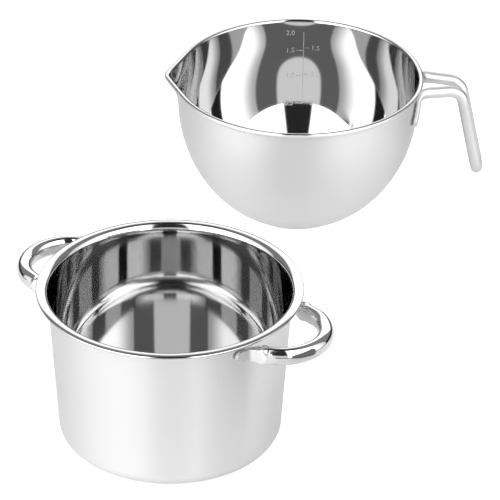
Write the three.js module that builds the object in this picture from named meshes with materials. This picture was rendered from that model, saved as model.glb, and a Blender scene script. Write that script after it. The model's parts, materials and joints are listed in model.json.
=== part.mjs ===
// Chocolate melting set: a deep stock pot with two loop handles, and a pouring bowl with one
// hairpin handle that hangs in the pot's mouth over hot water. Here the two stand side by side.
// Millimetres, +Z up. The origin is the middle of the pot's base, on the surface both stand on.
// +X runs from the bowl's spout to its handle.

import * as THREE from 'three';
import { mergeVertices } from 'three/addons/utils/BufferGeometryUtils.js';

// Stock pot
const POT_SHEET = 0.6;
const POT_HEIGHT = 113;
const POT_RIM_RADIUS = 90;
const POT_LIP_RADIUS = 4.6;
const POT_LIP_CROWN = 8;
const POT_LIP_TURN_IN = THREE.MathUtils.degToRad(8);
const POT_LIP_TURN_OUT = THREE.MathUtils.degToRad(20);
const POT_EDGE_RADIUS = 0.9;
const POT_CORNER_RADIUS = 10;
const POT_FLOOR_RADIUS = 66;

// Pot handles: oval tube bent into a loop, its ends pressed flat into feet
const POT_RIGHT_HANDLE_TURN = THREE.MathUtils.degToRad(-26.5);
const POT_LEFT_HANDLE_TURN = THREE.MathUtils.degToRad(147.5);
const POT_HANDLE_DROP = 12.5;
const POT_HANDLE_REACH = 31.2;
const POT_HANDLE_SPAN = 64;
const POT_TUBE_WIDTH = 11;
const POT_TUBE_HEIGHT = 12.4;
const POT_TUBE_WALL = 1;
const POT_FOOT_LENGTH = 13.4;
const POT_FOOT_THICKNESS = 3;
const POT_FOOT_HEIGHT = 8.6;
const POT_FOOT_TAPER = 10;

// Pouring bowl
const BOWL_SHEET = 0.6;
const BOWL_HEIGHT = 109.5;
const BOWL_WALL_RADIUS = 89.6;
const BOWL_BELLY_HEIGHT = 90;
const BOWL_BASE_RADIUS = 40.5;
const BOWL_BASE_BLEND = 3;
const BOWL_BEAD_RADIUS = 2;
const SPOUT_REACH = 6.5;
const SPOUT_DEPTH = 21;
const SPOUT_TIP_ROUNDING = THREE.MathUtils.degToRad(2);

// Bowl handle: one round rod bent into a hairpin, its ends pressed flat into tabs
const BOWL_HANDLE_TURN = THREE.MathUtils.degToRad(-2);
const BOWL_ROD_DIAMETER = 8.6;
const BOWL_HANDLE_DROP = 5.6;
const BOWL_HANDLE_REACH = 31.1;
const BOWL_HANDLE_LENGTH = 67.5;
const BOWL_HANDLE_SLANT = THREE.MathUtils.degToRad(12);
const BOWL_HANDLE_BEND = 11.2;
const BOWL_LEG_SPACING = 15;
const BOWL_TAB_TOP_SPACING = 27;
const BOWL_TAB_END_SPACING = 54;
const BOWL_TAB_LENGTH = 20.5;
const BOWL_TAB_BEND = 8;
const BOWL_TAB_THICKNESS = 2.5;
const BOWL_TAB_WIDTH = 9;
const BOWL_TAB_TAPER = 12;
const BOWL_TAB_TIP_LENGTH = 3;
const BOWL_TAB_TIP_WIDTH = 6;

// How square a foot or tab is pressed: 0 leaves it oval
const PRESSED_SQUARE = 2;

// Spot welds between a foot or tab and the wall it is welded to
const WELD_DIAMETER = 5;
const WELD_THICKNESS = 0.4;
const WELD_CLEARANCE = 0.3;
const BOWL_WELD_PITCH = 6;

// Where the bowl stands: free space between the two rims, and its direction from the pot
const SET_GAP = 140;
const SET_DIRECTION = THREE.MathUtils.degToRad(74.2);

// Facets
const POT_SEGMENTS = 60;
const BOWL_SEGMENTS = 72;
const ARC_DIVISIONS = 2;
const BELLY_STEPS = 12;
const LOOP_STEPS = 5;
const TUBE_SIDES = 12;
const TUBE_STEP = 5.5;
const WELD_SIDES = 12;
const MERGE_DISTANCE = 0.001;

const WELD_STANDOFF = WELD_THICKNESS + 2 * WELD_CLEARANCE;

const polishedSteel = { color: 0xd4d6d8, roughness: 0.12, metalness: 1 };
const satinSteel = { color: 0xc9cbcd, roughness: 0.34, metalness: 1 };
const weldSteel = { color: 0x9b9da0, roughness: 0.5, metalness: 1 };

function steelMesh(name, geometry, finish) {
  geometry.deleteAttribute('normal');
  geometry.deleteAttribute('uv');
  const merged = mergeVertices(geometry);
  merged.computeVertexNormals();
  const mesh = new THREE.Mesh(merged, new THREE.MeshStandardMaterial(finish));
  mesh.name = name;
  return mesh;
}

// A profile in the radius and height plane, turned about the vertical axis
function turned(points, segments) {
  return new THREE.LatheGeometry(points, segments).rotateX(Math.PI / 2);
}

// The lip has a wide crown, a tighter round on its inner side and a rolled outer edge.
const edgeFromCrown = POT_LIP_CROWN - POT_EDGE_RADIUS;
const roundFromCrown = POT_LIP_CROWN - POT_LIP_RADIUS;
const potCrown = new THREE.Vector2(
  POT_RIM_RADIUS - POT_EDGE_RADIUS - edgeFromCrown * Math.sin(POT_LIP_TURN_OUT),
  POT_HEIGHT - POT_LIP_CROWN,
);
const potEdge = new THREE.Vector2(
  potCrown.x + edgeFromCrown * Math.sin(POT_LIP_TURN_OUT),
  potCrown.y + edgeFromCrown * Math.cos(POT_LIP_TURN_OUT),
);
const potLip = new THREE.Vector2(
  potCrown.x - roundFromCrown * Math.sin(POT_LIP_TURN_IN),
  potCrown.y + roundFromCrown * Math.cos(POT_LIP_TURN_IN),
);

// The pot's wall is the straight line that touches the bottom corner on one side and the
// lip on the other, so its lean follows from where those two rounds sit.
const potCorner = new THREE.Vector2(POT_FLOOR_RADIUS, POT_CORNER_RADIUS);
const cornerToLip = potLip.clone().sub(potCorner);
const potLipUnderside = POT_LIP_RADIUS - POT_SHEET;
const potLean = Math.acos((POT_CORNER_RADIUS + potLipUnderside) / cornerToLip.length()) - cornerToLip.angle();

function potWallRadius(z) {
  const foot = POT_CORNER_RADIUS * (1 - Math.sin(potLean));
  return POT_FLOOR_RADIUS + POT_CORNER_RADIUS * Math.cos(potLean) + (z - foot) * Math.tan(potLean);
}

function potShell() {
  const section = new THREE.Path();
  const crownIn = Math.PI / 2 + POT_LIP_TURN_IN;
  const crownOut = Math.PI / 2 - POT_LIP_TURN_OUT;
  const crownUnderside = POT_LIP_CROWN - POT_SHEET;
  const edgeHalf = Math.sqrt(POT_EDGE_RADIUS ** 2 - (POT_EDGE_RADIUS - POT_SHEET) ** 2);
  const edgeStart = crownOut - 1.5 * Math.PI - Math.asin(1 - POT_SHEET / POT_EDGE_RADIUS);
  const innerCorner = POT_CORNER_RADIUS - POT_SHEET;
  section.moveTo(0, 0);
  section.lineTo(POT_FLOOR_RADIUS, 0);
  section.absarc(potCorner.x, potCorner.y, POT_CORNER_RADIUS, -Math.PI / 2, -potLean, false);
  section.absarc(potLip.x, potLip.y, potLipUnderside, Math.PI - potLean, crownIn, true);
  const undersideEnd = crownOut + Math.atan(edgeHalf / crownUnderside);
  section.absarc(potCrown.x, potCrown.y, crownUnderside, crownIn, undersideEnd, true);
  section.absarc(potEdge.x, potEdge.y, POT_EDGE_RADIUS, edgeStart, crownOut, false);
  section.absarc(potCrown.x, potCrown.y, POT_LIP_CROWN, crownOut, crownIn, false);
  section.absarc(potLip.x, potLip.y, POT_LIP_RADIUS, crownIn, Math.PI - potLean, false);
  section.absarc(potCorner.x, potCorner.y, innerCorner, -potLean, -Math.PI / 2, true);
  section.lineTo(0, POT_SHEET);
  const apart = (point, i, all) => i === 0 || point.distanceTo(all[i - 1]) > MERGE_DISTANCE;
  const points = section.getPoints(ARC_DIVISIONS).filter(apart);
  return steelMesh('pot_shell', turned(points, POT_SEGMENTS), polishedSteel);
}

// The bowl's belly is an ellipse that stands upright at BOWL_BELLY_HEIGHT and reaches the
// base circle at the bottom.
const bellyDepth = BOWL_BELLY_HEIGHT / Math.sqrt(1 - (BOWL_BASE_RADIUS / BOWL_WALL_RADIUS) ** 2);

function bellyRadius(z, inset = 0) {
  const below = Math.max(0, BOWL_BELLY_HEIGHT - z) / (bellyDepth - inset);
  return (BOWL_WALL_RADIUS - inset) * Math.sqrt(1 - below * below);
}

// Belly points from the end of the base blend up to where the wall stands upright
function bellyPoints(bottom, inset) {
  const depth = bellyDepth - inset;
  const lowest = Math.acos((BOWL_BELLY_HEIGHT - bottom) / depth);
  const points = [];
  for (let i = 0; i <= BELLY_STEPS; i++) {
    const turn = THREE.MathUtils.lerp(lowest, Math.PI / 2, i / BELLY_STEPS);
    const z = BOWL_BELLY_HEIGHT - depth * Math.cos(turn);
    points.push(new THREE.Vector2((BOWL_WALL_RADIUS - inset) * Math.sin(turn), z));
  }
  return points;
}

function bowlProfile() {
  const section = new THREE.Path();
  section.moveTo(0, 0);
  section.lineTo(BOWL_BASE_RADIUS - BOWL_BASE_BLEND, 0);
  const outer = bellyPoints(BOWL_BASE_BLEND / 2, 0);
  section.quadraticCurveTo(BOWL_BASE_RADIUS, 0, outer[0].x, outer[0].y);
  outer.slice(1).forEach((point) => section.lineTo(point.x, point.y));
  const bead = new THREE.Vector2(
    BOWL_WALL_RADIUS - BOWL_SHEET + BOWL_BEAD_RADIUS,
    BOWL_HEIGHT - BOWL_BEAD_RADIUS,
  );
  const beadStart = Math.acos((BOWL_SHEET - BOWL_BEAD_RADIUS) / BOWL_BEAD_RADIUS);
  section.absarc(bead.x, bead.y, BOWL_BEAD_RADIUS, -beadStart, Math.PI, false);
  const inner = bellyPoints(BOWL_SHEET + BOWL_BASE_BLEND / 2, BOWL_SHEET).reverse();
  inner.forEach((point) => section.lineTo(point.x, point.y));
  const innerBase = bellyRadius(BOWL_SHEET, BOWL_SHEET);
  section.quadraticCurveTo(innerBase, BOWL_SHEET, innerBase - BOWL_BASE_BLEND, BOWL_SHEET);
  section.lineTo(0, BOWL_SHEET);
  return section.getPoints(ARC_DIVISIONS);
}

// Two flats run from the round wall to the spout's tip, strongest at the rim
const spoutHalfAngle = SPOUT_TIP_ROUNDING + Math.acos(BOWL_WALL_RADIUS / (BOWL_WALL_RADIUS + SPOUT_REACH));

function pullSpout(geometry) {
  const position = geometry.attributes.position;
  const point = new THREE.Vector3();
  for (let i = 0; i < position.count; i++) {
    point.fromBufferAttribute(position, i);
    const fromTip = Math.hypot(Math.atan2(point.y, -point.x), SPOUT_TIP_ROUNDING);
    const rise = THREE.MathUtils.smoothstep(point.z, BOWL_HEIGHT - SPOUT_DEPTH, BOWL_HEIGHT);
    const stretch = 1 / Math.cos(Math.max(0, spoutHalfAngle - fromTip)) - 1;
    position.setXY(i, point.x * (1 + rise * stretch), point.y * (1 + rise * stretch));
  }
  return geometry;
}

function bowlShell() {
  return steelMesh('bowl_shell', pullSpout(turned(bowlProfile(), BOWL_SEGMENTS)), satinSteel);
}

// A bar swept along a curve. sectionAt gives the section's half sizes, along the frame's up
// and across it, and how square it is, at a distance from the nearer end. With a wall, the
// bar is a tube.
function sweptBar(curve, startUp, sectionAt, wall = 0) {
  const length = curve.getLength();
  const steps = Math.ceil(length / TUBE_STEP);
  const frames = [];
  const up = startUp.clone();
  for (let i = 0; i <= steps; i++) {
    const tangent = curve.getTangentAt(i / steps);
    up.addScaledVector(tangent, -up.dot(tangent)).normalize();
    const across = tangent.clone().cross(up);
    const fromEnd = (Math.min(i, steps - i) / steps) * length;
    frames.push({ middle: curve.getPointAt(i / steps), up: up.clone(), across, section: sectionAt(fromEnd) });
  }
  const [BORE, SURFACE] = [1, 2];
  const outside = frames.map((frame, i) => new THREE.Vector2(SURFACE, i));
  const inside = frames.map((frame, i) => new THREE.Vector2(BORE, i)).reverse();
  const ends = [new THREE.Vector2(0, 0), new THREE.Vector2(0, steps)];
  const profile = wall ? [...outside, ...inside, outside[0]] : [ends[0], ...outside, ends[1]];
  const geometry = new THREE.LatheGeometry(profile, TUBE_SIDES);
  const position = geometry.attributes.position;
  const point = new THREE.Vector3();
  for (let i = 0; i < position.count; i++) {
    point.fromBufferAttribute(position, i);
    const frame = frames[Math.round(point.y)];
    const layer = Math.round(Math.hypot(point.x, point.z));
    const inset = layer === BORE ? wall : 0;
    const unit = layer ? 1 / layer : 0;
    const { up: halfUp, across: halfAcross, square } = frame.section;
    const pressed = (share) => Math.sign(share) * Math.abs(share) ** (1 / (1 + square));
    const target = frame.middle
      .clone()
      .addScaledVector(frame.up, pressed(point.z * unit) * (halfUp - inset))
      .addScaledVector(frame.across, pressed(point.x * unit) * (halfAcross - inset));
    position.setXYZ(i, target.x, target.y, target.z);
  }
  return geometry;
}

// Straight runs joined by round bends, one bend radius for each inner corner
function bentPath(corners, radii) {
  const path = new THREE.CurvePath();
  let from = corners[0];
  radii.forEach((radius, i) => {
    const corner = corners[i + 1];
    const inward = corners[i].clone().sub(corner).normalize();
    const outward = corners[i + 2].clone().sub(corner).normalize();
    const turn = Math.PI - inward.angleTo(outward);
    const setback = radius * Math.tan(turn / 2);
    const pull = setback - (4 / 3) * Math.tan(turn / 4) * radius;
    const start = corner.clone().addScaledVector(inward, setback);
    const end = corner.clone().addScaledVector(outward, setback);
    const startPull = corner.clone().addScaledVector(inward, pull);
    const endPull = corner.clone().addScaledVector(outward, pull);
    path.add(new THREE.LineCurve3(from, start));
    path.add(new THREE.CubicBezierCurve3(start, startPull, endPull, end));
    from = end;
  });
  path.add(new THREE.LineCurve3(from, corners[corners.length - 1]));
  return path;
}

const potHandleHeight = POT_HEIGHT - POT_HANDLE_DROP;
const potFootTop = potHandleHeight + POT_FOOT_HEIGHT / 2;
const potFootRadius = potWallRadius(potFootTop) + WELD_STANDOFF + POT_FOOT_THICKNESS / 2;

// The loop seen from above, out along +X: a foot on the wall, a side, the round end, and back
function potHandleCurve() {
  const halfSpan = POT_HANDLE_SPAN / 2;
  const apex = potWallRadius(potHandleHeight) + POT_HANDLE_REACH;
  const rootTurn = Math.asin(halfSpan / potFootRadius);
  const footTurn = POT_FOOT_LENGTH / potFootRadius;
  const onWall = (turn) => new THREE.Vector3(
    potFootRadius * Math.cos(turn),
    potFootRadius * Math.sin(turn),
    potHandleHeight,
  );
  const side = [1, 1 / 2, 1 / 5].map((share) => onWall(rootTurn + share * footTurn));
  const root = onWall(rootTurn);
  const roundDepth = apex - root.x;
  for (let i = 2; i < LOOP_STEPS; i++) {
    const turn = (i / LOOP_STEPS) * (Math.PI / 2);
    const out = root.x + roundDepth * Math.sin(turn);
    side.push(new THREE.Vector3(out, halfSpan * Math.cos(turn), potHandleHeight));
  }
  const back = side.map((point) => new THREE.Vector3(point.x, -point.y, point.z)).reverse();
  const tip = new THREE.Vector3(apex, 0, potHandleHeight);
  return new THREE.CatmullRomCurve3([...side, tip, ...back], false, 'centripetal');
}

function potHandleSection(fromEnd) {
  const rounded = THREE.MathUtils.smoothstep(fromEnd, 0.75 * POT_FOOT_LENGTH, POT_FOOT_LENGTH + POT_FOOT_TAPER);
  return {
    up: THREE.MathUtils.lerp(POT_FOOT_HEIGHT, POT_TUBE_HEIGHT, rounded) / 2,
    across: THREE.MathUtils.lerp(POT_FOOT_THICKNESS, POT_TUBE_WIDTH, rounded) / 2,
    square: PRESSED_SQUARE * (1 - rounded),
  };
}

// A weld nugget lying on a wall that leans out by lean at the given radius and height
function weld(name, wallRadius, turn, z, lean) {
  const disc = new THREE.CylinderGeometry(WELD_DIAMETER / 2, WELD_DIAMETER / 2, WELD_THICKNESS, WELD_SIDES);
  disc.rotateZ(-Math.PI / 2).rotateY(lean);
  const mesh = steelMesh(name, disc, weldSteel);
  const radius = wallRadius + WELD_CLEARANCE + WELD_THICKNESS / 2;
  mesh.position.set(radius * Math.cos(turn), radius * Math.sin(turn), z);
  mesh.rotation.z = turn;
  return mesh;
}

function potHandle(side, turn) {
  const handle = new THREE.Group();
  handle.rotation.z = turn;
  const curve = potHandleCurve();
  const tube = sweptBar(curve, new THREE.Vector3(0, 0, 1), potHandleSection, POT_TUBE_WALL);
  handle.add(steelMesh(`pot_handle_${side}`, tube, polishedSteel));
  const footTurn = Math.asin(POT_HANDLE_SPAN / 2 / potFootRadius) + POT_FOOT_LENGTH / 2 / potFootRadius;
  const wall = potWallRadius(potFootTop);
  const front = side === 'right' ? -footTurn : footTurn;
  handle.add(weld(`pot_weld_${side}_front`, wall, front, potHandleHeight, potLean));
  handle.add(weld(`pot_weld_${side}_rear`, wall, -front, potHandleHeight, potLean));
  return handle;
}

const bowlLegHeight = BOWL_HEIGHT - BOWL_HANDLE_DROP;
const bowlTabBottom = bowlLegHeight - BOWL_TAB_LENGTH;

// The tabs spread a little from the legs down to their ends
function tabTurn(z) {
  const topTurn = Math.asin(BOWL_TAB_TOP_SPACING / 2 / BOWL_WALL_RADIUS);
  const endTurn = Math.asin(BOWL_TAB_END_SPACING / 2 / BOWL_WALL_RADIUS);
  return THREE.MathUtils.mapLinear(z, bowlTabBottom, bowlLegHeight, endTurn, topTurn);
}

function bowlHandle() {
  const tabSeat = WELD_STANDOFF + BOWL_TAB_THICKNESS / 2;
  const lowest = bowlLegHeight - BOWL_HANDLE_LENGTH;
  const bendAt = BOWL_WALL_RADIUS + BOWL_HANDLE_REACH;
  const endAt = bendAt + BOWL_HANDLE_LENGTH * Math.tan(BOWL_HANDLE_SLANT);
  const halfLegs = BOWL_LEG_SPACING / 2;
  const onWall = (z) => new THREE.Vector3(
    (bellyRadius(z) + tabSeat) * Math.cos(tabTurn(z)),
    -(bellyRadius(z) + tabSeat) * Math.sin(tabTurn(z)),
    z,
  );
  const tabRun = BOWL_TAB_LENGTH - BOWL_TAB_BEND;
  const tab = [0, 1 / 3, 2 / 3].map((share) => onWall(bowlTabBottom + share * tabRun));
  const front = [
    ...tab,
    onWall(bowlLegHeight),
    new THREE.Vector3(bendAt, -halfLegs, bowlLegHeight),
    new THREE.Vector3(endAt, -halfLegs, lowest),
  ];
  const rear = front.map((point) => new THREE.Vector3(point.x, -point.y, point.z)).reverse();
  const bends = [BOWL_WALL_RADIUS, BOWL_WALL_RADIUS, BOWL_TAB_BEND, BOWL_HANDLE_BEND, halfLegs];
  const path = bentPath([...front, ...rear], [...bends, ...bends.slice().reverse()]);
  const middleTurn = tabTurn(bowlTabBottom + BOWL_TAB_LENGTH / 2);
  const alongWall = new THREE.Vector3(Math.sin(middleTurn), Math.cos(middleTurn), 0);
  const taperMiddle = onWall(bowlTabBottom).distanceTo(onWall(bowlLegHeight));
  const taperStart = taperMiddle - BOWL_TAB_TAPER / 2;
  const sectionAt = (fromEnd) => {
    const rounded = THREE.MathUtils.smoothstep(fromEnd, taperStart, taperStart + BOWL_TAB_TAPER);
    const full = Math.min(1, fromEnd / BOWL_TAB_TIP_LENGTH);
    const tabWidth = THREE.MathUtils.lerp(BOWL_TAB_TIP_WIDTH, BOWL_TAB_WIDTH, full);
    return {
      up: THREE.MathUtils.lerp(tabWidth, BOWL_ROD_DIAMETER, rounded) / 2,
      across: THREE.MathUtils.lerp(BOWL_TAB_THICKNESS, BOWL_ROD_DIAMETER, rounded) / 2,
      square: PRESSED_SQUARE * (1 - rounded),
    };
  };
  return steelMesh('bowl_handle', sweptBar(path, alongWall, sectionAt), satinSteel);
}

function bowlWelds() {
  const welds = [];
  const lower = bowlTabBottom + WELD_DIAMETER;
  for (const [end, way] of [['front', -1], ['rear', 1]]) {
    for (const [level, z] of [['lower', lower], ['upper', lower + BOWL_WELD_PITCH]]) {
      const lean = Math.atan2(bellyRadius(z + 1) - bellyRadius(z - 1), 2);
      welds.push(weld(`bowl_weld_${end}_${level}`, bellyRadius(z), way * tabTurn(z), z, lean));
    }
  }
  return welds;
}

const meltingSet = new THREE.Group();

const pot = new THREE.Group();
pot.add(potShell());
pot.add(potHandle('right', POT_RIGHT_HANDLE_TURN));
pot.add(potHandle('left', POT_LEFT_HANDLE_TURN));
meltingSet.add(pot);

const bowl = new THREE.Group();
const bowlRimRadius = BOWL_WALL_RADIUS - BOWL_SHEET + 2 * BOWL_BEAD_RADIUS;
const apart = POT_RIM_RADIUS + SET_GAP + bowlRimRadius;
bowl.position.set(apart * Math.cos(SET_DIRECTION), apart * Math.sin(SET_DIRECTION), 0);
bowl.add(bowlShell());
const gripAndWelds = new THREE.Group();
gripAndWelds.rotation.z = BOWL_HANDLE_TURN;
gripAndWelds.add(bowlHandle(), ...bowlWelds());
bowl.add(gripAndWelds);
meltingSet.add(bowl);

export default meltingSet;
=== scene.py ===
import json
import math

import bpy
from mathutils import Matrix, Vector


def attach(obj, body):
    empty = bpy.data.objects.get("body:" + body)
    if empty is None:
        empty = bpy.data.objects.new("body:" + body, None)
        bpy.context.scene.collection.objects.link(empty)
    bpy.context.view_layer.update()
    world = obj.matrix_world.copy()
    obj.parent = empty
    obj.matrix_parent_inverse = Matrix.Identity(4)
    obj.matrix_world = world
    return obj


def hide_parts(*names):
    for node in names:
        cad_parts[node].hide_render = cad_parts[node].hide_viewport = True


# Chocolate melting set: a stock pot with two loop handles, and a pouring bowl with a hairpin
# handle that hangs in the pot's mouth over hot water. Here the two stand side by side.
# Metres, +Z up. The origin is the middle of the pot's base.

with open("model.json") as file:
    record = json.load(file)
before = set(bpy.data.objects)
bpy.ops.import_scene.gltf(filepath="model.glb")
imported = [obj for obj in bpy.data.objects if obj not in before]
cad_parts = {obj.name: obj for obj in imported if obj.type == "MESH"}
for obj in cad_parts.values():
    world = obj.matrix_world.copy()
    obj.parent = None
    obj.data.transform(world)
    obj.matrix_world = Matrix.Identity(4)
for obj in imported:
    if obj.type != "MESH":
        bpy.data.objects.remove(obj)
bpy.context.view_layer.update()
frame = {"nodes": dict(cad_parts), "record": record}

MM = 0.001

# Stock pot
POT_SHEET = 0.6 * MM
POT_HEIGHT = 113 * MM
POT_RIM_RADIUS = 90 * MM
POT_LIP_RADIUS = 4.6 * MM
POT_LIP_CROWN = 8 * MM
POT_LIP_TURN_IN = math.radians(8)
POT_LIP_TURN_OUT = math.radians(20)
POT_EDGE_RADIUS = 0.9 * MM
POT_CORNER_RADIUS = 10 * MM
POT_FLOOR_RADIUS = 66 * MM

# Loop handles: oval tube, its ends pressed flat into feet
LOOP_TURNS = {"right": math.radians(-26.5), "left": math.radians(147.5)}
LOOP_HEIGHT = POT_HEIGHT - 12.5 * MM
LOOP_REACH = 31.2 * MM
LOOP_SPAN = 64 * MM
TUBE_WIDTH = 11 * MM
TUBE_HEIGHT = 12.4 * MM
FOOT_LENGTH = 13.4 * MM
FOOT_THICKNESS = 3 * MM
FOOT_HEIGHT = 8.6 * MM
FOOT_TAPER = 10 * MM
FOOT_ROUNDING = 4 * MM
FOOT_SQUARE = 5
FOOT_FLAT_SHARE = 0.75
FOOT_POINTS = (1, 0.5, 0.2)
SATIN_FOOT_FROM = 33 * MM
LOOP_ROUND_POINTS = 5

# Pouring bowl
BOWL_SHEET = 0.6 * MM
BOWL_HEIGHT = 109.5 * MM
BOWL_WALL_RADIUS = 89.6 * MM
BELLY_HEIGHT = 90 * MM
BELLY_EASE = 9 * MM
BASE_RADIUS = 40.5 * MM
BASE_BLEND = 3 * MM
BEAD_RADIUS = 2 * MM
SPOUT_REACH = 6.5 * MM
SPOUT_DEPTH = 21 * MM
SPOUT_TIP_ROUNDING = math.radians(2)

# Hairpin handle: one rod, its ends pressed flat into tabs
HAIRPIN_TURN = math.radians(-2)
ROD_DIAMETER = 8.6 * MM
LEG_HEIGHT = BOWL_HEIGHT - 5.6 * MM
HAIRPIN_REACH = 31.1 * MM
HAIRPIN_LENGTH = 67.5 * MM
HAIRPIN_SLANT = math.radians(12)
HAIRPIN_BEND = 11.2 * MM
LEG_SPACING = 15 * MM
HAIRPIN_END_SHARE = 0.999
TAB_TOP_SPACING = 27 * MM
TAB_END_SPACING = 54 * MM
TAB_LENGTH = 20.5 * MM
TAB_BEND = 8 * MM
TAB_THICKNESS = 2.5 * MM
TAB_WIDTH = 9 * MM
TAB_TAPER = 12 * MM
TAB_ROUNDING = 4 * MM
TAB_POINTS = (0, 1 / 3, 2 / 3)

# How square the tabs are pressed, how blunt tabs and feet end, and how far a weld and its
# clearances hold them off the wall. The points are shares of their lengths that a path runs through.
TAB_SQUARE = 2
BLUNT_END = 0.3
WELD_STANDOFF = 1 * MM

# Measuring scale on the bowl's inner wall
SCALE_TURN = math.radians(86.9)
SCALE_TOP = 99.6 * MM
SCALE_BOTTOM = 43 * MM
SCALE_LEFT = {"0.5": 43.6 * MM, "1.0": 63.5 * MM, "1.5": 83.9 * MM}
SCALE_RIGHT = {"0.5": 44.1 * MM, "1.0": 64.6 * MM, "1.5": 86.2 * MM}
SCALE_FULL = 98.6 * MM
SCALE_LINE_WIDTH = 0.5 * MM
SCALE_TICK_WIDTH = 0.45 * MM
SCALE_TICK_LEFT = 5.5 * MM
SCALE_TICK_RIGHT = 4.5 * MM
SCALE_FIGURE_SIZE = 5.6 * MM
SCALE_FIGURE_GAP = 1.2 * MM
SCALE_LIFT = 0.03 * MM
SCALE_THICKNESS = 0.06 * MM
SCALE_CUT = 2 * MM

# Mesh fineness
SPIN_STEPS = 240
ARC_STEP = math.radians(3.5)
SECTION_STEP = 3 * MM
BELLY_STEPS = 80
BELLY_CROWDING = 1.4
EASE_STEPS = 6
BASE_ROUND_STEPS = 8
CURVE_STEPS = 24
BEND_STEPS = 16
BAR_SIDES = 36
BAR_CUTS = 14
BAR_STATIONS = (BAR_CUTS + 1) ** 2
UPRIGHT_FROM = 0.5
MERGE_DISTANCE = 1e-6
SMOOTH_ANGLE = math.radians(35)

bowl_mount = next(m for m in frame["record"]["mounts"] if m["name"] == "bowl_base")
BOWL_MIDDLE = Vector(bowl_mount["pos_m"])

# Finish of the steel: how many marks there are to a metre, how much the polishing lines change on
# their way round, and how far the marks dull the grey
POLISH_LINES = 1400
POLISH_WANDER = 1.5
SCUFFS = 1600.0
WEAR = 38.0
WAVES = 22.0
WEAR_SHARE = 0.6
LINE_SHARE = 0.4
MARKS_FROM = 0.1
DULLED = 0.97

# A quarter turn, which stretches the blur of a finish across its polishing lines
ACROSS_LINES = 0.25

# Added to a squared radius, so that nothing is divided by nought on the axis
NOT_NOUGHT = 1e-9


# Shader nodes


class Value:
    """What a socket gives, so that sums on it read as sums."""

    def __init__(self, nodes, socket):
        self.nodes = nodes
        self.socket = socket

    def __add__(self, other):
        return self.nodes.sum("ADD", self, other)

    def __radd__(self, other):
        return self.nodes.sum("ADD", other, self)

    def __sub__(self, other):
        return self.nodes.sum("SUBTRACT", self, other)

    def __rsub__(self, other):
        return self.nodes.sum("SUBTRACT", other, self)

    def __mul__(self, other):
        return self.nodes.sum("MULTIPLY", self, other)

    def __rmul__(self, other):
        return self.nodes.sum("MULTIPLY", other, self)

    def __truediv__(self, other):
        return self.nodes.sum("DIVIDE", self, other)

    def __rtruediv__(self, other):
        return self.nodes.sum("DIVIDE", other, self)


class Nodes:
    """A node tree that is filled by calls."""

    def __init__(self, tree):
        self.tree = tree
        tree.nodes.clear()

    def add(self, kind, settings=(), inputs=(), output=0):
        node = self.tree.nodes.new(kind)
        for name, value in dict(settings).items():
            setattr(node, name, value)
        for name, value in dict(inputs).items():
            if isinstance(value, Value):
                self.tree.links.new(value.socket, node.inputs[name])
            else:
                node.inputs[name].default_value = value
        return Value(self, node.outputs[output]) if node.outputs else None

    def sum(self, operation, first, second=0.0):
        return self.add("ShaderNodeMath", {"operation": operation}, {0: first, 1: second})

    def split(self, place):
        return [self.add("ShaderNodeSeparateXYZ", inputs={0: place}, output=axis) for axis in "XYZ"]


# Socket numbers of a Mix node that mixes colours
MIX_FIRST = 6
MIX_SECOND = 7
MIX_RESULT = 2


def grey_colour(level):
    return level, level, level, 1


def new_finish(name):
    material = bpy.data.materials.new(name)
    material.use_nodes = True
    return material, Nodes(material.node_tree)


def steel(name, grey, roughness, axis=None, grain=0.03, grain_depth=0.0, wave_depth=0.0, aniso=0.0):
    """Bare steel. With an axis, the polishing lines run round it, and else they are fine scuffs."""
    material, nodes = new_finish(name)
    where = nodes.add("ShaderNodeTexCoord", output="Object")
    if axis is not None:
        place = nodes.add("ShaderNodeMapping", inputs={"Vector": where, "Location": -Vector(axis)})
        x, y, z = nodes.split(place)
        radius = nodes.sum("SQRT", x * x + y * y + NOT_NOUGHT)
        line_place = nodes.add(
            "ShaderNodeCombineXYZ",
            inputs={
                "X": POLISH_WANDER * x / radius,
                "Y": POLISH_WANDER * y / radius,
                "Z": POLISH_LINES * z,
            },
        )
        lines = nodes.add(
            "ShaderNodeTexNoise",
            {"noise_dimensions": "4D"},
            {"Vector": line_place, "W": POLISH_LINES * radius, "Scale": 1.0, "Detail": 2.0},
        )
    else:
        lines = nodes.add("ShaderNodeTexNoise", inputs={"Vector": where, "Scale": SCUFFS, "Detail": 3.0})
    wear = nodes.add("ShaderNodeTexNoise", inputs={"Vector": where, "Scale": WEAR, "Detail": 4.0})
    waves = nodes.add("ShaderNodeTexNoise", inputs={"Vector": where, "Scale": WAVES, "Detail": 1.0})
    bright = grey_colour(grey)
    dull = grey_colour(grey * DULLED)
    marks = WEAR_SHARE * wear + LINE_SHARE * lines - MARKS_FROM
    colour = nodes.add(
        "ShaderNodeMix",
        {"data_type": "RGBA"},
        {0: marks, MIX_FIRST: bright, MIX_SECOND: dull},
        output=MIX_RESULT,
    )
    height = grain_depth * lines + wave_depth * waves
    relief = nodes.add("ShaderNodeBump", inputs={"Height": height, "Distance": 1.0, "Strength": 1.0})
    surface = nodes.add(
        "ShaderNodeBsdfPrincipled",
        inputs={
            "Base Color": colour,
            "Metallic": 1.0,
            "Roughness": roughness + grain * (lines + wear - 1.0),
            "Anisotropic": aniso,
            "Anisotropic Rotation": ACROSS_LINES,
            "Normal": relief,
        },
    )
    nodes.add("ShaderNodeOutputMaterial", inputs={"Surface": surface})
    return material


# Mesh making


def start_piece():
    bpy.ops.object.select_all(action="DESELECT")


def end_piece(name, body):
    piece = bpy.context.object
    piece.name = name
    piece.data.name = name
    bpy.ops.object.transform_apply(location=True, rotation=True, scale=True)
    bpy.ops.object.shade_smooth_by_angle(angle=SMOOTH_ANGLE)
    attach(piece, body)
    return piece


def mix(a, b, share):
    return a + (b - a) * share


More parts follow.
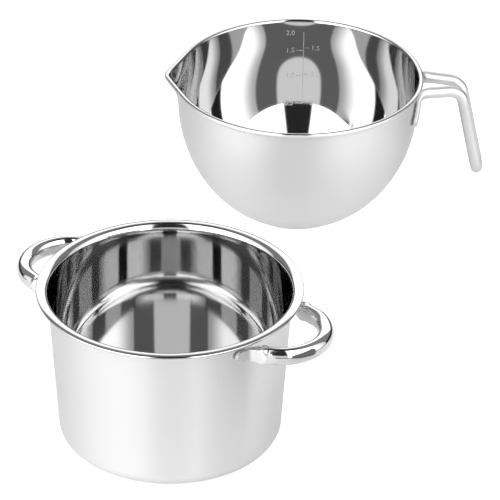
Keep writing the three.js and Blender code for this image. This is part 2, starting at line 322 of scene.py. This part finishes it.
def smooth_share(value, low, high):
    share = min(1.0, max(0.0, (value - low) / (high - low)))
    return share * share * (3 - 2 * share)


def arc(middle, radius, start, end):
    """Section corners on a round, as (distance from the axis, height)."""
    count = max(2, math.ceil(abs(end - start) / ARC_STEP))
    turns = [start + (end - start) * i / count for i in range(count + 1)]
    return [(middle[0] + radius * math.cos(t), middle[1] + radius * math.sin(t)) for t in turns]


def split_long_runs(corners):
    """The same section, with extra corners on its straight runs."""
    fine = [corners[0]]
    for start, end in zip(corners, corners[1:]):
        pieces = max(1, math.ceil(math.dist(start, end) / SECTION_STEP))
        for i in range(1, pieces + 1):
            share = i / pieces
            fine.append(tuple(a + (b - a) * share for a, b in zip(start, end)))
    return fine


def spin_sheet(section):
    """A section in the radius and height plane, drawn corner by corner and spun round the axis."""
    start_piece()
    radius, height = section[0]
    bpy.ops.mesh.primitive_plane_add(size=SECTION_STEP, location=(0, 0, 0))
    bpy.ops.object.mode_set(mode="EDIT")
    bpy.ops.mesh.select_mode(type="VERT")
    bpy.ops.mesh.select_all(action="SELECT")
    bpy.ops.mesh.merge(type="CENTER")
    bpy.ops.transform.translate(value=(radius, 0, height))
    for start, end in zip(section, section[1:]):
        step = (end[0] - start[0], 0, end[1] - start[1])
        bpy.ops.mesh.extrude_vertices_move(TRANSFORM_OT_translate={"value": step})
    bpy.ops.mesh.select_all(action="SELECT")
    bpy.ops.mesh.spin(steps=SPIN_STEPS, angle=2 * math.pi, center=(0, 0, 0), axis=(0, 0, 1))
    bpy.ops.mesh.select_all(action="SELECT")
    bpy.ops.mesh.remove_doubles(threshold=MERGE_DISTANCE)
    bpy.ops.mesh.normals_make_consistent(inside=False)
    bpy.ops.object.mode_set(mode="OBJECT")
    return bpy.context.object


OUTSIDE, INSIDE, LIP = range(3)


def finish_sides(piece, outside, inside):
    """The faces that look up or towards the axis get the inside finish."""
    piece.data.materials.append(outside)
    piece.data.materials.append(inside)
    for face in piece.data.polygons:
        out = Vector((face.center.x, face.center.y, 0)).normalized()
        face.material_index = INSIDE if face.normal.z > face.normal.dot(out) else OUTSIDE


def finish_lip(piece, lip):
    piece.data.materials.append(lip)
    for face in piece.data.polygons:
        if face.center.z > pot_lip.y:
            face.material_index = LIP


# Stock pot


pot_corner = Vector((POT_FLOOR_RADIUS, POT_CORNER_RADIUS))
edge_from_crown = POT_LIP_CROWN - POT_EDGE_RADIUS
round_from_crown = POT_LIP_CROWN - POT_LIP_RADIUS
crown_x = POT_RIM_RADIUS - POT_EDGE_RADIUS - edge_from_crown * math.sin(POT_LIP_TURN_OUT)
pot_crown = Vector((crown_x, POT_HEIGHT - POT_LIP_CROWN))
pot_edge = pot_crown + edge_from_crown * Vector((math.sin(POT_LIP_TURN_OUT), math.cos(POT_LIP_TURN_OUT)))
pot_lip = pot_crown + round_from_crown * Vector((-math.sin(POT_LIP_TURN_IN), math.cos(POT_LIP_TURN_IN)))
pot_rise = pot_lip - pot_corner
lip_underside = POT_LIP_RADIUS - POT_SHEET
pot_lean = math.acos((POT_CORNER_RADIUS + lip_underside) / pot_rise.length)
pot_lean -= math.atan2(pot_rise.y, pot_rise.x)


def pot_wall_radius(z):
    foot = POT_CORNER_RADIUS * (1 - math.sin(pot_lean))
    return POT_FLOOR_RADIUS + POT_CORNER_RADIUS * math.cos(pot_lean) + (z - foot) * math.tan(pot_lean)


def make_pot(outside, inside, lip):
    quarter = math.pi / 2
    crown_in = quarter + POT_LIP_TURN_IN
    crown_out = quarter - POT_LIP_TURN_OUT
    crown_underside = POT_LIP_CROWN - POT_SHEET
    edge_half = math.sqrt(POT_EDGE_RADIUS**2 - (POT_EDGE_RADIUS - POT_SHEET) ** 2)
    edge_start = crown_out - 3 * quarter - math.asin(1 - POT_SHEET / POT_EDGE_RADIUS)
    section = [(0, 0)]
    section += arc(pot_corner, POT_CORNER_RADIUS, -quarter, -pot_lean)
    section += arc(pot_lip, lip_underside, math.pi - pot_lean, crown_in)
    underside_end = crown_out + math.atan(edge_half / crown_underside)
    section += arc(pot_crown, crown_underside, crown_in, underside_end)
    section += arc(pot_edge, POT_EDGE_RADIUS, edge_start, crown_out)
    section += arc(pot_crown, POT_LIP_CROWN, crown_out, crown_in)
    section += arc(pot_lip, POT_LIP_RADIUS, crown_in, math.pi - pot_lean)
    section += arc(pot_corner, POT_CORNER_RADIUS - POT_SHEET, -pot_lean, -quarter)
    section.append((0, POT_SHEET))
    piece = spin_sheet(split_long_runs(section))
    finish_sides(piece, outside, inside)
    finish_lip(piece, lip)
    end_piece("stock_pot", "pot")
    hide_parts("pot_shell")


# Pouring bowl


belly_depth = BELLY_HEIGHT / math.sqrt(1 - (BASE_RADIUS / BOWL_WALL_RADIUS) ** 2)


def belly_radius(z, inset=0.0):
    """An ellipse up to the upright wall, eased into it by taking the mean over a little height."""
    heights = [z + BELLY_EASE * i / EASE_STEPS for i in range(-EASE_STEPS, EASE_STEPS + 1)]
    below = [max(0.0, BELLY_HEIGHT - height) / (belly_depth - inset) for height in heights]
    return (BOWL_WALL_RADIUS - inset) * sum(math.sqrt(1 - b * b) for b in below) / len(below)


def belly(bottom, inset):
    """Section corners of the belly, from the end of the base's round up to the upright wall."""
    top = BELLY_HEIGHT + BELLY_EASE
    shares = [(i / BELLY_STEPS) ** BELLY_CROWDING for i in range(BELLY_STEPS + 1)]
    heights = [mix(bottom, top, share) for share in shares]
    return [(belly_radius(z, inset), z) for z in heights]


def base_round(start, corner, end):
    """A soft corner between two runs of the section."""
    shares = [i / BASE_ROUND_STEPS for i in range(BASE_ROUND_STEPS + 1)]
    return [
        tuple(
            a * (1 - s) ** 2 + 2 * b * s * (1 - s) + c * s**2
            for a, b, c in zip(start, corner, end)
        )
        for s in shares
    ]


def pull_spout(piece):
    """Two flats run from the round wall to the spout's tip, strongest at the rim."""
    half_angle = SPOUT_TIP_ROUNDING + math.acos(BOWL_WALL_RADIUS / (BOWL_WALL_RADIUS + SPOUT_REACH))
    for vertex in piece.data.vertices:
        from_tip = math.hypot(math.atan2(vertex.co.y, -vertex.co.x), SPOUT_TIP_ROUNDING)
        rise = smooth_share(vertex.co.z, BOWL_HEIGHT - SPOUT_DEPTH, BOWL_HEIGHT)
        stretch = 1 / math.cos(max(0.0, half_angle - from_tip)) - 1
        vertex.co.x *= 1 + rise * stretch
        vertex.co.y *= 1 + rise * stretch


def make_bowl(outside, inside):
    outer = belly(BASE_BLEND / 2, 0)
    inner = belly(BOWL_SHEET + BASE_BLEND / 2, BOWL_SHEET)
    inner.reverse()
    inner_base = belly_radius(BOWL_SHEET, BOWL_SHEET)
    bead = (BOWL_WALL_RADIUS - BOWL_SHEET + BEAD_RADIUS, BOWL_HEIGHT - BEAD_RADIUS)
    bead_start = math.acos((BOWL_SHEET - BEAD_RADIUS) / BEAD_RADIUS)
    section = [(0, 0)]
    section += base_round((BASE_RADIUS - BASE_BLEND, 0), (BASE_RADIUS, 0), outer[0])
    section += outer[1:]
    section += arc(bead, BEAD_RADIUS, -bead_start, math.pi)
    section += inner[:-1]
    section += base_round(inner[-1], (inner_base, BOWL_SHEET), (inner_base - BASE_BLEND, BOWL_SHEET))
    section.append((0, BOWL_SHEET))
    piece = spin_sheet(split_long_runs(section))
    finish_sides(piece, outside, inside)
    pull_spout(piece)
    piece.location = BOWL_MIDDLE
    end_piece("pouring_bowl", "bowl")
    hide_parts("bowl_shell")


# Handles


def through(points):
    """A smooth curve through points, its corners paced by the square root of their distance."""
    first = points[0] + (points[0] - points[1])
    last = points[-1] + (points[-1] - points[-2])
    row = [first, *points, last]
    curve = []
    for a, b, c, d in zip(row, row[1:], row[2:], row[3:]):
        t1 = math.sqrt((b - a).length)
        t2 = t1 + math.sqrt((c - b).length)
        t3 = t2 + math.sqrt((d - c).length)
        for i in range(CURVE_STEPS):
            t = t1 + (t2 - t1) * i / CURVE_STEPS
            ab = a.lerp(b, t / t1)
            bc = b.lerp(c, (t - t1) / (t2 - t1))
            cd = c.lerp(d, (t - t2) / (t3 - t2))
            abc = ab.lerp(bc, t / t2)
            bcd = bc.lerp(cd, (t - t1) / (t3 - t1))
            curve.append(abc.lerp(bcd, (t - t1) / (t2 - t1)))
    return [*curve, points[-1]]


def bent(corners, radii):
    """Straight runs joined by round bends, one bend radius for each inner corner."""
    path = [corners[0]]
    for before, corner, after, radius in zip(corners, corners[1:], corners[2:], radii):
        inward = (before - corner).normalized()
        outward = (after - corner).normalized()
        turn = math.pi - inward.angle(outward)
        middle = corner + (inward + outward).normalized() * radius / math.cos(turn / 2)
        start = corner + inward * radius * math.tan(turn / 2) - middle
        end = corner + outward * radius * math.tan(turn / 2) - middle
        path += [middle + radius * start.slerp(end, i / BEND_STEPS) for i in range(BEND_STEPS + 1)]
    return [*path, corners[-1]]


def stations(path, first_up):
    """Places along a path, closer together at its ends: distance from the end, middle, up, across."""
    reach = [0.0]
    for start, end in zip(path, path[1:]):
        reach.append(reach[-1] + (end - start).length)
    up = first_up
    places = []
    segment = 0
    for i in range(BAR_STATIONS + 1):
        along = reach[-1] * (1 - math.cos(math.pi * i / BAR_STATIONS)) / 2
        while segment < len(path) - 2 and reach[segment + 1] < along:
            segment += 1
        run = reach[segment + 1] - reach[segment]
        middle = path[segment].lerp(path[segment + 1], (along - reach[segment]) / run)
        before = path[max(0, segment - 1)]
        after = path[min(len(path) - 1, segment + 2)]
        ahead = (after - before).normalized()
        up = (up - ahead * up.dot(ahead)).normalized()
        places.append((min(along, reach[-1] - along), middle, up.copy(), ahead.cross(up)))
    return places


def cut_along(bar):
    """Cuts each of the bar's upright edges into equal lengths."""
    bpy.ops.object.mode_set(mode="EDIT")
    bpy.ops.mesh.select_mode(type="EDGE")
    bpy.ops.mesh.select_all(action="DESELECT")
    bpy.ops.object.mode_set(mode="OBJECT")
    for edge in bar.data.edges:
        low, high = (bar.data.vertices[i].co.z for i in edge.vertices)
        edge.select = abs(high - low) > UPRIGHT_FROM
    bpy.ops.object.mode_set(mode="EDIT")
    bpy.ops.mesh.subdivide(number_cuts=BAR_CUTS)
    bpy.ops.object.mode_set(mode="OBJECT")


def bend_bar(path, first_up, section):
    """A round bar cut into stations and bent along a path. At a distance from its nearer end,
    section gives half its height, half its width and how square it is pressed."""
    start_piece()
    bpy.ops.mesh.primitive_cylinder_add(
        vertices=BAR_SIDES, radius=1, depth=BAR_STATIONS, location=(0, 0, BAR_STATIONS / 2)
    )
    bpy.ops.object.transform_apply(location=True)
    bar = bpy.context.object
    cut_along(bar)
    cut_along(bar)
    places = stations(path, first_up)
    for vertex in bar.data.vertices:
        from_end, middle, up, across = places[round(vertex.co.z)]
        half_height, half_width, square = section(from_end)
        power = 1 / (1 + square)
        rise = math.copysign(abs(vertex.co.x) ** power, vertex.co.x)
        side = math.copysign(abs(vertex.co.y) ** power, vertex.co.y)
        vertex.co = middle + up * rise * half_height + across * side * half_width
    bpy.ops.object.mode_set(mode="EDIT")
    bpy.ops.mesh.select_all(action="SELECT")
    bpy.ops.mesh.normals_make_consistent(inside=False)
    bpy.ops.object.mode_set(mode="OBJECT")
    return bar


def rounded_end(from_end, rounding):
    """Share of the full height that is left near a rounded end."""
    left = 1 - min(1.0, from_end / rounding)
    return max(BLUNT_END, math.sqrt(1 - left * left))


def loop_section(from_end):
    rounded = smooth_share(from_end, FOOT_FLAT_SHARE * FOOT_LENGTH, FOOT_LENGTH + FOOT_TAPER)
    height = mix(FOOT_HEIGHT, TUBE_HEIGHT, rounded) * rounded_end(from_end, FOOT_ROUNDING)
    width = mix(FOOT_THICKNESS, TUBE_WIDTH, rounded)
    return height / 2, width / 2, FOOT_SQUARE * (1 - rounded**2)


def loop_path():
    """The loop seen from above, out along +X: a foot on the wall, a side, the round end, and back."""
    half_span = LOOP_SPAN / 2
    foot_top = LOOP_HEIGHT + FOOT_HEIGHT / 2
    foot_radius = pot_wall_radius(foot_top) + WELD_STANDOFF + FOOT_THICKNESS / 2
    apex = pot_wall_radius(LOOP_HEIGHT) + LOOP_REACH
    root_turn = math.asin(half_span / foot_radius)
    foot_turn = FOOT_LENGTH / foot_radius
    side = []
    for share in FOOT_POINTS:
        turn = root_turn + foot_turn * share
        side.append(Vector((foot_radius * math.cos(turn), foot_radius * math.sin(turn), LOOP_HEIGHT)))
    root_out = foot_radius * math.cos(root_turn)
    for i in range(2, LOOP_ROUND_POINTS):
        turn = i / LOOP_ROUND_POINTS * math.pi / 2
        out = root_out + (apex - root_out) * math.sin(turn)
        side.append(Vector((out, half_span * math.cos(turn), LOOP_HEIGHT)))
    back = [Vector((point.x, -point.y, point.z)) for point in reversed(side)]
    return through([*side, Vector((apex, 0, LOOP_HEIGHT)), *back])


def make_loop_handles(tube_finish, foot_finish):
    """The right loop, and the left one copied from it. Their feet, which lie past SATIN_FOOT_FROM,
    have the finish of the pot's wall."""
    right = bend_bar(loop_path(), Vector((0, 0, 1)), loop_section)
    for face in right.data.polygons:
        face.material_index = int(abs(face.center.y) > SATIN_FOOT_FROM)
    bpy.ops.object.duplicate(linked=False)
    left = bpy.context.object
    for side, piece in {"right": right, "left": left}.items():
        start_piece()
        piece.select_set(True)
        bpy.context.view_layer.objects.active = piece
        piece.data.materials.append(tube_finish)
        piece.data.materials.append(foot_finish)
        piece.rotation_euler.z = LOOP_TURNS[side]
        end_piece(f"loop_handle_{side}", "pot")
        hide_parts(f"pot_handle_{side}")


tab_bottom = LEG_HEIGHT - TAB_LENGTH


def tab_turn(z):
    """The tabs spread from the legs down to their ends."""
    top_turn = math.asin(TAB_TOP_SPACING / 2 / BOWL_WALL_RADIUS)
    end_turn = math.asin(TAB_END_SPACING / 2 / BOWL_WALL_RADIUS)
    return mix(end_turn, top_turn, (z - tab_bottom) / TAB_LENGTH)


def tab_place(z):
    out = belly_radius(z) + WELD_STANDOFF + TAB_THICKNESS / 2
    return Vector((out * math.cos(tab_turn(z)), -out * math.sin(tab_turn(z)), z))


def hairpin_section(from_end):
    taper_middle = (tab_place(LEG_HEIGHT) - tab_place(tab_bottom)).length
    rounded = smooth_share(from_end, taper_middle - TAB_TAPER / 2, taper_middle + TAB_TAPER / 2)
    width = mix(TAB_WIDTH * rounded_end(from_end, TAB_ROUNDING), ROD_DIAMETER, rounded)
    thickness = mix(TAB_THICKNESS, ROD_DIAMETER, rounded)
    return width / 2, thickness / 2, TAB_SQUARE * (1 - rounded)


def hairpin_path():
    bend_at = BOWL_WALL_RADIUS + HAIRPIN_REACH
    end_at = bend_at + HAIRPIN_LENGTH * math.tan(HAIRPIN_SLANT)
    half_legs = LEG_SPACING / 2
    front = [tab_place(tab_bottom + share * (TAB_LENGTH - TAB_BEND)) for share in TAB_POINTS]
    front.append(tab_place(LEG_HEIGHT))
    front.append(Vector((bend_at, -half_legs, LEG_HEIGHT)))
    front.append(Vector((end_at, -half_legs, LEG_HEIGHT - HAIRPIN_LENGTH)))
    rear = [Vector((point.x, -point.y, point.z)) for point in reversed(front)]
    bends = [BOWL_WALL_RADIUS, BOWL_WALL_RADIUS, TAB_BEND, HAIRPIN_BEND, half_legs * HAIRPIN_END_SHARE]
    return bent([*front, *rear], [*bends, *reversed(bends)])


def make_hairpin_handle(finish):
    middle_turn = tab_turn(tab_bottom + TAB_LENGTH / 2)
    along_wall = Vector((math.sin(middle_turn), math.cos(middle_turn), 0))
    piece = bend_bar(hairpin_path(), along_wall, hairpin_section)
    piece.rotation_euler.z = HAIRPIN_TURN
    piece.location = BOWL_MIDDLE
    piece.data.materials.append(finish)
    end_piece("hairpin_handle", "bowl")
    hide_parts("bowl_handle")


# Measuring scale


def flat_bar(left, right, low, high):
    """A flat strip of the scale, lying in X and Y for now, with cuts so that it can follow the wall."""
    start_piece()
    bpy.ops.mesh.primitive_plane_add(size=1, location=(0, 0, 0))
    bar = bpy.context.object
    bar.scale = (right - left, high - low, 1)
    bar.location = ((left + right) / 2, (low + high) / 2, 0)
    bpy.ops.object.transform_apply(location=True, rotation=True, scale=True)
    bpy.ops.object.mode_set(mode="EDIT")
    bpy.ops.mesh.select_all(action="SELECT")
    bpy.ops.mesh.subdivide(number_cuts=max(1, math.ceil(max(right - left, high - low) / SCALE_CUT)))
    bpy.ops.object.mode_set(mode="OBJECT")
    return bar


def figure(text, x, y, align):
    start_piece()
    bpy.ops.object.text_add(location=(0, 0, 0))
    words = bpy.context.object
    words.data.body = text
    words.data.size = SCALE_FIGURE_SIZE
    words.data.align_x = align
    words.data.align_y = "CENTER"
    bpy.ops.object.convert(target="MESH")
    mark = bpy.context.object
    mark.location = (x, y, 0)
    bpy.ops.object.transform_apply(location=True, rotation=True, scale=True)
    return mark


def make_scale(finish):
    half_line = SCALE_LINE_WIDTH / 2
    half_tick = SCALE_TICK_WIDTH / 2
    left_figures = -SCALE_TICK_LEFT - SCALE_FIGURE_GAP
    right_figures = SCALE_TICK_RIGHT + SCALE_FIGURE_GAP
    marks = [flat_bar(-half_line, half_line, SCALE_BOTTOM, SCALE_TOP)]
    marks.append(figure("2.0", left_figures, SCALE_FULL, "RIGHT"))
    for amount, z in SCALE_LEFT.items():
        marks.append(flat_bar(-SCALE_TICK_LEFT, -2 * half_line, z - half_tick, z + half_tick))
        marks.append(figure(amount, left_figures, z, "RIGHT"))
    for amount, z in SCALE_RIGHT.items():
        marks.append(flat_bar(2 * half_line, SCALE_TICK_RIGHT, z - half_tick, z + half_tick))
        marks.append(figure(amount, right_figures, z, "LEFT"))
    start_piece()
    for mark in marks:
        mark.select_set(True)
    bpy.context.view_layer.objects.active = marks[0]
    bpy.ops.object.join()
    scale = bpy.context.object
    bpy.ops.object.mode_set(mode="EDIT")
    bpy.ops.mesh.select_all(action="SELECT")
    bpy.ops.mesh.extrude_region_move(TRANSFORM_OT_translate={"value": (0, 0, SCALE_THICKNESS)})
    bpy.ops.mesh.select_all(action="SELECT")
    bpy.ops.mesh.normals_make_consistent(inside=False)
    bpy.ops.object.mode_set(mode="OBJECT")
    for vertex in scale.data.vertices:
        across, z, lift = vertex.co
        wall = belly_radius(z, BOWL_SHEET)
        out = wall - SCALE_LIFT - lift
        turn = SCALE_TURN - across / wall
        vertex.co = BOWL_MIDDLE + Vector((out * math.cos(turn), out * math.sin(turn), z))
    scale.data.materials.append(finish)
    end_piece("measuring_scale", "bowl")


# Studio: a white table in a dark round tent, which holds a white panel behind the set and a
# softbox on each side. The gap between the softboxes, in front, is where the camera looks in.
# A low flag, in front of the pot and to its right, keeps some light off it. Turns are measured
# from straight behind the set and rises from the horizon.

STUDIO_MIDDLE = Vector((0.045, 0.155, 0))
STUDIO_RADIUS = 3.0
TABLE_RADIUS = 0.85
TABLE_DROP = 0.2 * MM
TABLE_SIDES = 96
TENT_SEGMENTS = 96
TENT_RINGS = 48
FLOOR_PAINT = 0.52
FLOOR_GLOW_SEEN = 0.75
FLOOR_GLOW_MIRRORED = 0.28
DARK = 0.03
GREY_ROOM = 0.25
FRONT_LOW = 0.8
BACK_PANEL = 1.6
LEFT_SOFTBOX = 3.6
RIGHT_SOFTBOX = 3.1
SOFTBOX_FADE = 0.3
PANEL_TURN = math.radians(2)
PANEL_LOW = math.radians(14)
PANEL_RISE = math.radians(26)
PANEL_HALF_WIDTH = math.radians(40)
PANEL_HALF_HEIGHT = math.radians(21)
PANEL_SQUARE = 2.2
SOFTBOX_TURN = math.radians(120.5)
SOFTBOX_HALF_WIDTH = math.radians(42.5)
SOFTBOX_RISE = math.radians(22)
SOFTBOX_HALF_HEIGHT = math.radians(60)
SOFTBOX_SQUARE = 3.0
FLAG_PLACE = Vector((0.25, -0.27, 0.11))
FLAG_LENGTH = 0.34
FLAG_HEIGHT = 0.22
FLAG_GREY = 0.15
FRONT_LOW_TOP = math.radians(24)
ROOM_TOP = 0.9
ROOM_END = 0.96
SOFT_EDGE = math.radians(2)
WINDOW_SOFTNESS = 0.15
MIRROR_BOUNCES = 7


def soft_step(nodes, value, low, high):
    """0 under low, 1 over high and a soft edge between them."""
    return nodes.add(
        "ShaderNodeMapRange",
        {"interpolation_type": "SMOOTHSTEP"},
        {"Value": value, "From Min": low, "From Max": high},
    )


def rays(nodes):
    """Whether a ray comes from the camera, and whether it comes off or through a surface."""
    camera = nodes.add("ShaderNodeLightPath", output="Is Camera Ray")
    glossy = nodes.add("ShaderNodeLightPath", output="Is Glossy Ray")
    passed = nodes.add("ShaderNodeLightPath", output="Is Transmission Ray")
    return camera, glossy + passed


def make_world():
    world = bpy.data.worlds.new("white_studio")
    world.use_nodes = True
    world.cycles.sampling_method = "NONE"
    nodes = Nodes(world.node_tree)
    seen, mirrored = rays(nodes)
    strength = seen + mirrored
    sky = nodes.add("ShaderNodeBackground", inputs={"Color": grey_colour(1), "Strength": strength})
    nodes.add("ShaderNodeOutputWorld", inputs={"Surface": sky})
    bpy.context.scene.world = world


def make_floor():
    start_piece()
    bpy.ops.mesh.primitive_circle_add(
        vertices=TABLE_SIDES,
        radius=TABLE_RADIUS,
        fill_type="NGON",
        location=STUDIO_MIDDLE - Vector((0, 0, TABLE_DROP)),
    )
    floor = bpy.context.object
    floor.name = "floor"
    material, nodes = new_finish("white_floor")
    material.cycles.emission_sampling = "NONE"
    seen, mirrored = rays(nodes)
    strength = FLOOR_GLOW_SEEN * seen + FLOOR_GLOW_MIRRORED * mirrored
    paint = nodes.add("ShaderNodeBsdfDiffuse", inputs={"Color": grey_colour(FLOOR_PAINT)})
    glow = nodes.add("ShaderNodeEmission", inputs={"Strength": strength})
    both = nodes.add("ShaderNodeAddShader", inputs={0: paint, 1: glow})
    nodes.add("ShaderNodeOutputMaterial", inputs={"Surface": both})
    floor.data.materials.append(material)


def tent_light():
    """What shines from each direction. X is to the right, Y away from the camera and Z up."""
    material, nodes = new_finish("tent_light")
    where = nodes.add("ShaderNodeTexCoord", output="Object")
    away = nodes.add("ShaderNodeVectorMath", {"operation": "SUBTRACT"}, {0: where, 1: STUDIO_MIDDLE})
    direction = nodes.add("ShaderNodeVectorMath", {"operation": "NORMALIZE"}, {0: away})
    x, y, z = nodes.split(direction)
    turn = nodes.sum("ARCTAN2", x, y)
    rise = nodes.sum("ARCSINE", z)

    def past(value, edge):
        return soft_step(nodes, value, edge - SOFT_EDGE, edge + SOFT_EDGE)

    def window(from_middle, half_width, low, half_height, square):
        """A window with straight sides and an upper end that is rounder the less square it is."""
        across = nodes.sum("ABSOLUTE", from_middle) / half_width
        above = nodes.sum("MAXIMUM", rise - low, 0.0) / half_height
        out = nodes.sum("POWER", across, square) + nodes.sum("POWER", above, square)
        return 1 - soft_step(nodes, out, 1 - WINDOW_SOFTNESS, 1 + WINDOW_SOFTNESS)

    from_behind = nodes.sum("ABSOLUTE", turn)
    panel = window(turn - PANEL_TURN, PANEL_HALF_WIDTH, PANEL_RISE, PANEL_HALF_HEIGHT, PANEL_SQUARE)
    panel = panel * past(rise, PANEL_LOW)
    softbox_turn = from_behind - SOFTBOX_TURN
    softbox = window(softbox_turn, SOFTBOX_HALF_WIDTH, SOFTBOX_RISE, SOFTBOX_HALF_HEIGHT, SOFTBOX_SQUARE)
    softbox = softbox * past(rise, 0.0)
    inner_edge = SOFTBOX_TURN - SOFTBOX_HALF_WIDTH
    outer_edge = SOFTBOX_TURN + SOFTBOX_HALF_WIDTH
    beside = past(from_behind, inner_edge)
    in_front = past(from_behind, outer_edge) * past(rise, 0.0)
    to_right = past(turn, 0.0)
    room = (1 - beside) * past(rise, PANEL_LOW) * (1 - soft_step(nodes, z, ROOM_TOP, ROOM_END))
    strength = DARK + GREY_ROOM * room + (BACK_PANEL - GREY_ROOM) * panel
    strength = strength + FRONT_LOW * in_front * (1 - past(rise, FRONT_LOW_TOP))
    fade = mix(SOFTBOX_FADE, 1.0, soft_step(nodes, from_behind, inner_edge, SOFTBOX_TURN))
    strength = strength + softbox * fade * mix(LEFT_SOFTBOX, RIGHT_SOFTBOX, to_right)
    glow = nodes.add("ShaderNodeEmission", inputs={"Color": grey_colour(1), "Strength": strength})
    nodes.add("ShaderNodeOutputMaterial", inputs={"Surface": glow})
    return material


def make_tent():
    start_piece()
    bpy.ops.mesh.primitive_uv_sphere_add(
        segments=TENT_SEGMENTS, ring_count=TENT_RINGS, radius=STUDIO_RADIUS, location=STUDIO_MIDDLE
    )
    tent = bpy.context.object
    tent.name = "light_tent"
    bpy.ops.object.transform_apply(location=True)
    tent.data.materials.append(tent_light())
    tent.visible_camera = False
    tent.visible_shadow = False


def make_flag():
    """A low grey card that keeps some of the right softbox off the pot."""
    start_piece()
    bpy.ops.mesh.primitive_plane_add(size=1, location=FLAG_PLACE, rotation=(0, math.pi / 2, 0))
    flag = bpy.context.object
    flag.name = "flag"
    flag.scale = (FLAG_HEIGHT, FLAG_LENGTH, 1)
    material, nodes = new_finish("flag_felt")
    felt = nodes.add("ShaderNodeBsdfDiffuse", inputs={"Color": grey_colour(FLAG_GREY)})
    nodes.add("ShaderNodeOutputMaterial", inputs={"Surface": felt})
    flag.data.materials.append(material)
    flag.visible_camera = False


def make_studio():
    make_world()
    make_floor()
    make_tent()
    make_flag()
    bpy.context.scene.cycles.glossy_bounces = MIRROR_BOUNCES


# Camera at the photograph's place

CAMERA_PLACE = Vector((0.053329, -2.114575, 1.389894))
CAMERA_PITCH = 0.5333146
CAMERA_ROLL = 0.0104255
CAMERA_LENS = 265.634
CAMERA_SENSOR = 36


def make_camera():
    bpy.ops.object.camera_add()
    camera = bpy.context.object
    camera.data.lens = CAMERA_LENS
    camera.data.sensor_width = CAMERA_SENSOR
    turn = Matrix.Rotation(math.pi / 2 - CAMERA_PITCH, 4, "X") @ Matrix.Rotation(CAMERA_ROLL, 4, "Z")
    camera.matrix_world = Matrix.Translation(CAMERA_PLACE) @ turn
    bpy.context.scene.camera = camera


bpy.context.scene.view_settings.view_transform = "Standard"

pot_outside = steel("pot_satin", 0.78, 0.34, axis=(0, 0, 0), grain=0.05, aniso=0.8)
pot_inside = steel("pot_polish", 0.65, 0.045, axis=(0, 0, 0), grain=0.005, aniso=0.3)
pot_lip_finish = steel("lip_polish", 0.62, 0.09, axis=(0, 0, 0), grain=0.03)
loop_finish = steel("loop_chrome", 0.7, 0.08, grain=0.02)
bowl_outside = steel("bowl_satin", 0.70, 0.5, axis=BOWL_MIDDLE, grain=0.05, aniso=0.5)
bowl_inside = steel("bowl_mirror", 0.6, 0.05, axis=BOWL_MIDDLE, grain=0.01, wave_depth=0.00015)
hairpin_finish = steel("hairpin_satin", 0.68, 0.45, grain=0.04)
weld_finish = steel("weld_nugget", 0.5, 0.5, grain=0.1, grain_depth=0.00002)
scale_finish = steel("etched_scale", 0.6, 0.6, grain=0.05)

make_pot(pot_outside, pot_inside, pot_lip_finish)
make_loop_handles(loop_finish, pot_outside)
make_bowl(bowl_outside, bowl_inside)
make_hairpin_handle(hairpin_finish)
make_scale(scale_finish)

for name, node in frame["nodes"].items():
    if "_weld_" in name:
        node.material_slots[0].material = weld_finish

make_studio()
make_camera()
